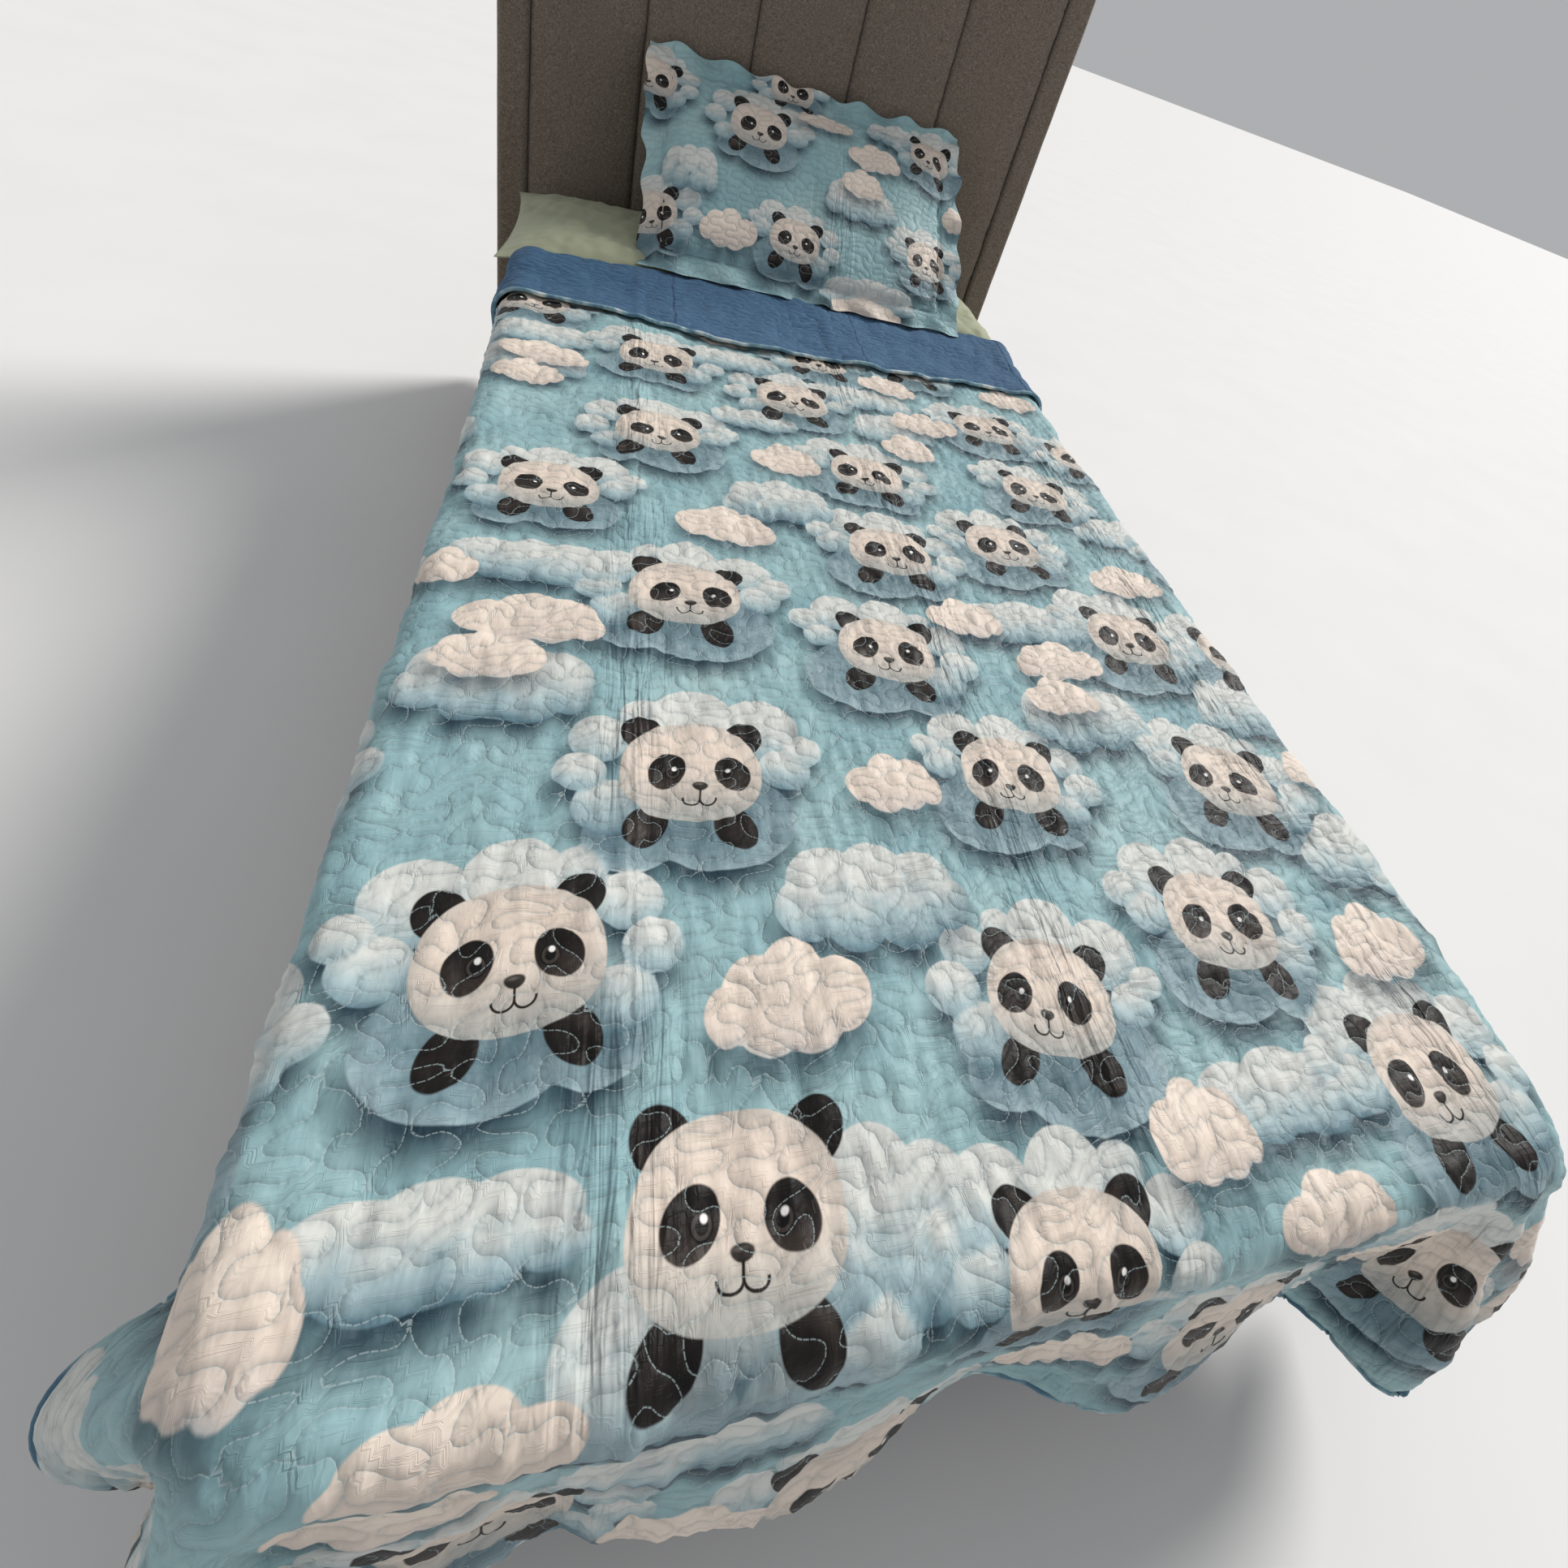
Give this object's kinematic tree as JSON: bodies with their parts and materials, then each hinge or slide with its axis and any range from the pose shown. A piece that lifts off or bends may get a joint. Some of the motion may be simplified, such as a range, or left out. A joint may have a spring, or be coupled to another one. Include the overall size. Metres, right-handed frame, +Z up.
{
  "type": "made-up single bed with quilted coverlet",
  "caption": "Single bed with a channelled upholstered headboard, a printed quilt turned down at the head and a flanged sham that lifts off.",
  "frame": {"origin": "on the floor, under the middle of the whole bed's box", "axes": "+Z up, +Y towards the headboard, +X to the right seen from the foot"},
  "size_m": [1.2, 2.1717, 1.19],
  "materials": {
    "upholstery": "woven, matte",
    "frame_wood": "planed, unfinished",
    "slat_wood": "bent birch, clear lacquer",
    "dust_cloth": "non-woven, matte",
    "fixings": "zinc plated",
    "holder_plastic": "matte black",
    "foot_plastic": "fine grained black",
    "foam": "open foam",
    "ticking": "knitted ticking",
    "sage_cotton": "plain weave cotton",
    "filling": "fibre filling",
    "quilt_reverse_cloth": "slubbed plain weave",
    "printed_cloth": "printed, slight sheen",
    "binding_tape": "overlocked edge"
  },
  "bodies": {
    "bed": {"headboard_panel": "frame_wood", "headboard_channel_1": "upholstery", "headboard_channel_2": "upholstery", "headboard_channel_3": "upholstery", "headboard_channel_4": "upholstery", "headboard_channel_5": "upholstery", "headboard_border_left": "upholstery", "headboard_border_right": "upholstery", "headboard_skirt_pad": "upholstery", "headboard_post_left": "frame_wood", "headboard_post_right": "frame_wood", "headboard_batten_upper": "frame_wood", "headboard_batten_lower": "frame_wood", "headboard_back_cloth": "dust_cloth", "headboard_bolts": "fixings", "base_board_left": "frame_wood", "base_board_right": "frame_wood", "base_board_foot": "frame_wood", "base_board_head": "frame_wood", "base_cover_left": "upholstery", "base_cover_right": "upholstery", "base_cover_foot": "upholstery", "base_dust_cloth": "dust_cloth", "corner_blocks": "frame_wood", "corner_screws": "fixings", "ledger_left": "frame_wood", "ledger_right": "frame_wood", "slats": "slat_wood", "slat_holders": "holder_plastic", "foot_front_left": "foot_plastic", "foot_front_right": "foot_plastic", "foot_back_left": "foot_plastic", "foot_back_right": "foot_plastic", "foot_studs": "fixings", "mattress_core": "foam", "mattress_cover": "ticking", "mattress_piping_upper": "ticking", "mattress_piping_lower": "ticking", "fitted_sheet": "sage_cotton", "pillow_filling": "filling", "pillow_case": "sage_cotton", "quilt_reverse": "quilt_reverse_cloth", "quilt_wadding": "filling", "quilt_face": "printed_cloth", "quilt_binding": "binding_tape"},
    "sham": {"sham_filling": "filling", "sham_ticking": "ticking", "sham_front": "printed_cloth", "sham_back_upper": "printed_cloth", "sham_back_lower": "printed_cloth", "sham_flange_back": "printed_cloth"}
  },
  "joints": [
    {"name": "sham_lift", "type": "slide", "parent": "bed", "child": "sham", "axis": [0, -0.6428, 0.766], "range_m": [0, 0.35]}
  ]
}
